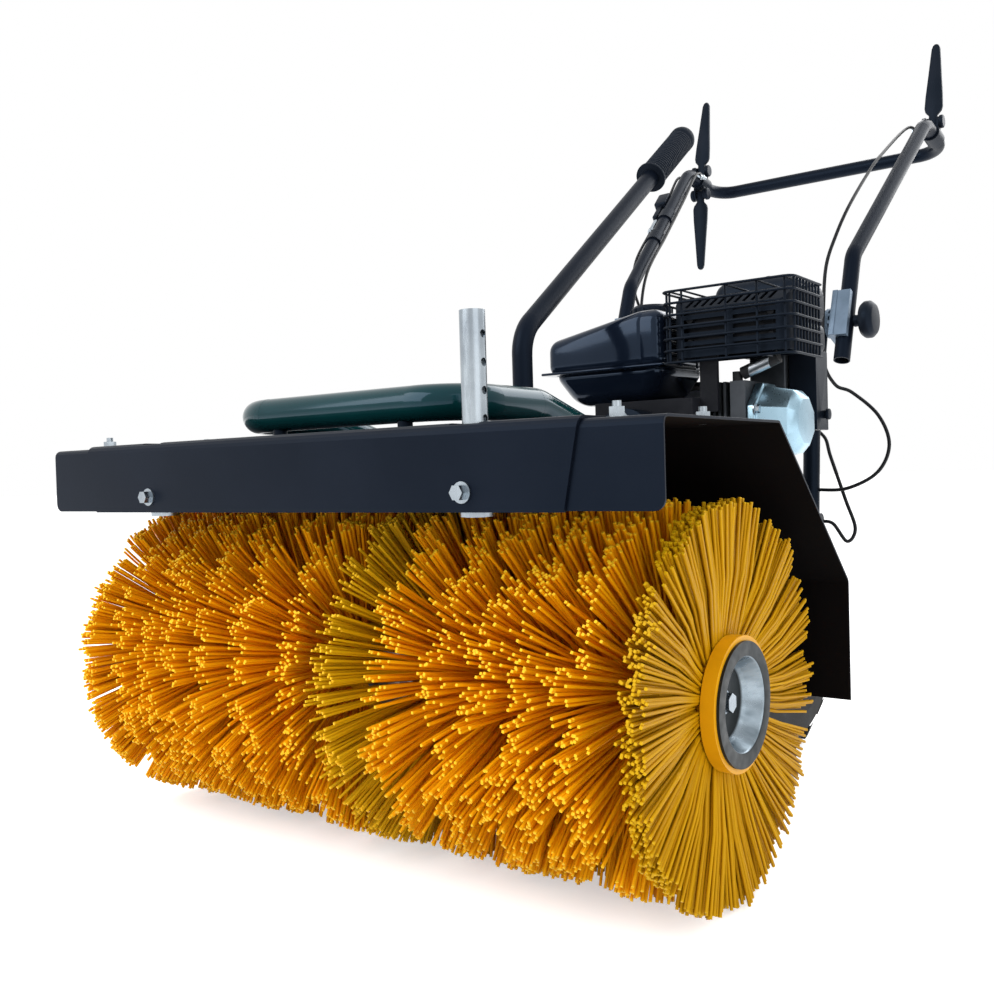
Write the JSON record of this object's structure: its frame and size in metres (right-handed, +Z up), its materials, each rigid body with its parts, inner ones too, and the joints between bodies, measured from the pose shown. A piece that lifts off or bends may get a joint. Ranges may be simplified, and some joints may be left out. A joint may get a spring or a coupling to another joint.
{
  "type": "power brush sweeper",
  "caption": "Walk-behind power brush sweeper with a hooded rotary brush on a swivelling head, an engine chassis on two wheels and a tilting handlebar with control levers.",
  "frame": {"origin": "on the ground under the middle of the whole machine", "axes": "+X to the right along the brush as seen from in front of the brush, +Y from the brush back to the handlebar, +Z up"},
  "size_m": [0.864, 1.6797, 1.3057],
  "materials": {
    "black_paint": "satin black powder coat",
    "teal_paint": "glossy dark teal paint",
    "zinc": "bright zinc plate",
    "steel": "machined steel",
    "bronze": "bronze",
    "alloy": "cast aluminium",
    "bristle_orange": "orange-yellow polypropylene bristles",
    "carrier_yellow": "moulded yellow plastic",
    "cup_grey": "zinc dish with a dark rim",
    "black_plastic": "black moulded plastic",
    "tank_black": "gloss black",
    "rubber_black": "black rubber",
    "tyre_black": "black tyre rubber",
    "case_iron": "black cast iron",
    "clamp_grey": "pale grey casting"
  },
  "bodies": {
    "chassis": {"engine_deck": "black_paint", "chassis_frame": "black_paint", "transmission_case": "case_iron", "crankcase": "alloy", "cylinder": "alloy", "valve_cover": "alloy", "spark_plug": "rubber_black", "muffler": "steel", "heat_shield": "black_paint", "muffler_cage": "black_paint", "fuel_tank": "tank_black", "air_cleaner": "black_plastic", "carburettor": "alloy", "control_housing": "black_plastic", "recoil_housing": "black_plastic", "drive_belt": "rubber_black", "belt_guard": "black_paint", "tilt_rosettes": "clamp_grey", "right_cable": "rubber_black", "left_cable": "rubber_black", "lock_cable": "rubber_black"},
    "head": {"hood": "black_paint", "front_plate": "black_paint", "hood_bolts": "zinc", "post_sockets": "zinc", "carrier_hoop": "teal_paint", "hoop_bolts": "black_paint", "gearbox_left": "alloy", "gearbox_right": "alloy", "gearbox_beam": "black_paint", "swivel_yoke": "black_paint", "tiller_tube": "black_paint", "tiller_grip": "rubber_black"},
    "post": {"support_post": "zinc"},
    "input": {"input_shaft": "steel", "input_pulley": "steel"},
    "brush": {"brush_shaft": "steel", "worm_wheel": "bronze", "bristle_carriers": "carrier_yellow", "left_bristles": "bristle_orange", "right_bristles": "bristle_orange", "end_cups": "cup_grey", "end_bolts": "zinc"},
    "left_wheel": {"left_hub": "steel", "left_tyre": "tyre_black"},
    "right_wheel": {"right_hub": "steel", "right_tyre": "tyre_black"},
    "crank": {"crankshaft": "steel", "flywheel": "alloy", "crank_pulley": "steel"},
    "cap": {"fuel_cap": "black_plastic"},
    "starter": {"recoil_handle": "black_plastic"},
    "handle": {"handlebar": "black_paint", "tilt_plates": "clamp_grey", "lever_brackets": "black_plastic"},
    "left_clamp": {"left_knob": "black_plastic"},
    "right_clamp": {"right_knob": "black_plastic"},
    "right_control": {"right_lever": "black_plastic"},
    "left_control": {"left_lever": "black_plastic"},
    "lock_control": {"lock_lever": "black_plastic"}
  },
  "joints": [
    {"name": "head_swivel", "type": "hinge", "parent": "chassis", "child": "head", "pos_m": [0, -0.32884, 0.35], "axis": [0, 0, 1], "range_deg": [-15, 15], "deforming": ["drive_belt"]},
    {"name": "brush_spin", "type": "hinge", "parent": "head", "child": "brush", "pos_m": [0, -0.62384, 0.2], "axis": [1, 0, 0], "continuous": true},
    {"name": "input_spin", "type": "hinge", "parent": "head", "child": "input", "pos_m": [0, -0.62384, 0.247], "axis": [0, 1, 0], "continuous": true},
    {"name": "post_slide", "type": "slide", "parent": "head", "child": "post", "axis": [0, 0, 1], "range_m": [-0.051, 0.051]},
    {"name": "crank_spin", "type": "hinge", "parent": "chassis", "child": "crank", "pos_m": [0.095, -0.27784, 0.464], "axis": [0, 1, 0], "continuous": true},
    {"name": "left_wheel_spin", "type": "hinge", "parent": "chassis", "child": "left_wheel", "pos_m": [-0.207, -0.06884, 0.2], "axis": [1, 0, 0], "continuous": true},
    {"name": "right_wheel_spin", "type": "hinge", "parent": "chassis", "child": "right_wheel", "pos_m": [0.207, -0.06884, 0.2], "axis": [1, 0, 0], "continuous": true},
    {"name": "fuel_cap_turn", "type": "hinge", "parent": "chassis", "child": "cap", "pos_m": [0.06302, -0.14064, 0.661], "axis": [0, 0, 1], "range_deg": [0, 90]},
    {"name": "starter_pull", "type": "slide", "parent": "chassis", "child": "starter", "axis": [0, 1, 0], "range_m": [0, 0.5]},
    {"name": "handle_tilt", "type": "hinge", "parent": "chassis", "child": "handle", "pos_m": [0, 0.26916, 0.675], "axis": [1, 0, 0], "range_deg": [-15, 20], "deforming": ["right_cable", "left_cable", "lock_cable"]},
    {"name": "left_knob_turn", "type": "hinge", "parent": "handle", "child": "left_clamp", "pos_m": [-0.225, 0.26916, 0.675], "axis": [1, 0, 0], "continuous": true},
    {"name": "right_knob_turn", "type": "hinge", "parent": "handle", "child": "right_clamp", "pos_m": [0.225, 0.26916, 0.675], "axis": [1, 0, 0], "continuous": true},
    {"name": "right_lever_squeeze", "type": "hinge", "parent": "handle", "child": "right_control", "pos_m": [0.262, 0.74423, 1.13117], "axis": [1, 0, 0], "range_deg": [-70, 0], "stiffness_Nm_per_rad": 0.6},
    {"name": "left_lever_squeeze", "type": "hinge", "parent": "handle", "child": "left_control", "pos_m": [-0.262, 0.74423, 1.13117], "axis": [1, 0, 0], "range_deg": [-70, 0], "stiffness_Nm_per_rad": 0.6},
    {"name": "lock_lever_squeeze", "type": "hinge", "parent": "handle", "child": "lock_control", "pos_m": [-0.262, 0.73682, 1.07566], "axis": [1, 0, 0], "range_deg": [0, 70], "stiffness_Nm_per_rad": 0.6}
  ],
  "couplings": [
    {"joint": "input_spin", "follows": "brush_spin", "ratio": 16}
  ]
}
